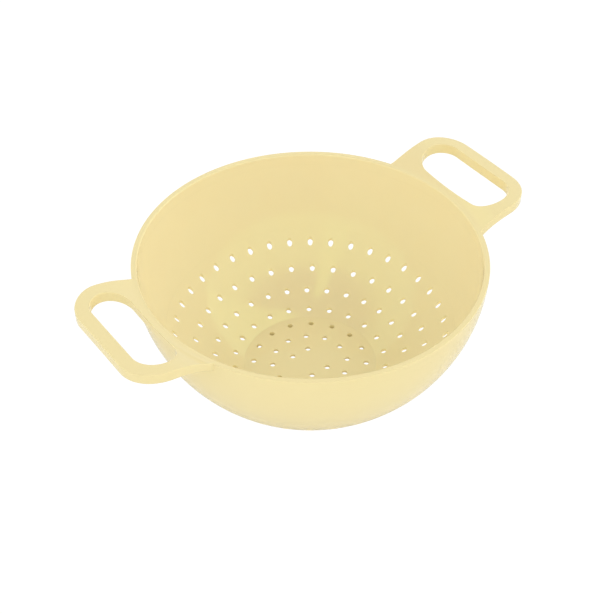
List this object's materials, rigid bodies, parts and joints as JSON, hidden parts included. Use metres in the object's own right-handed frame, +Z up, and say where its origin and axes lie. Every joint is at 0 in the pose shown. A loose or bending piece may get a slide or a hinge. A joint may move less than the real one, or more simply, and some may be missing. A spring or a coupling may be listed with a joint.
{
  "type": "colander",
  "caption": "Round deep kitchen colander with rows of drain holes in its floor and lower wall, a foot ring, and an arched loop handle on each side of the rim.",
  "frame": {"origin": "centre of the foot ring's resting plane, on the bowl's axis", "axes": "+Z up along the bowl's axis, +X through the middle of the right handle, +Y square to the handles"},
  "size_m": [0.321, 0.24, 0.1212],
  "materials": {
    "moulded_plastic": "glossy injection-moulded plastic, pale vanilla yellow"
  },
  "bodies": {
    "root": {"foot_ring": "moulded_plastic", "base_plate": "moulded_plastic", "drain_wall": "moulded_plastic", "upper_wall": "moulded_plastic", "rim_ring": "moulded_plastic", "handle_right": "moulded_plastic", "handle_left": "moulded_plastic"}
  },
  "joints": []
}
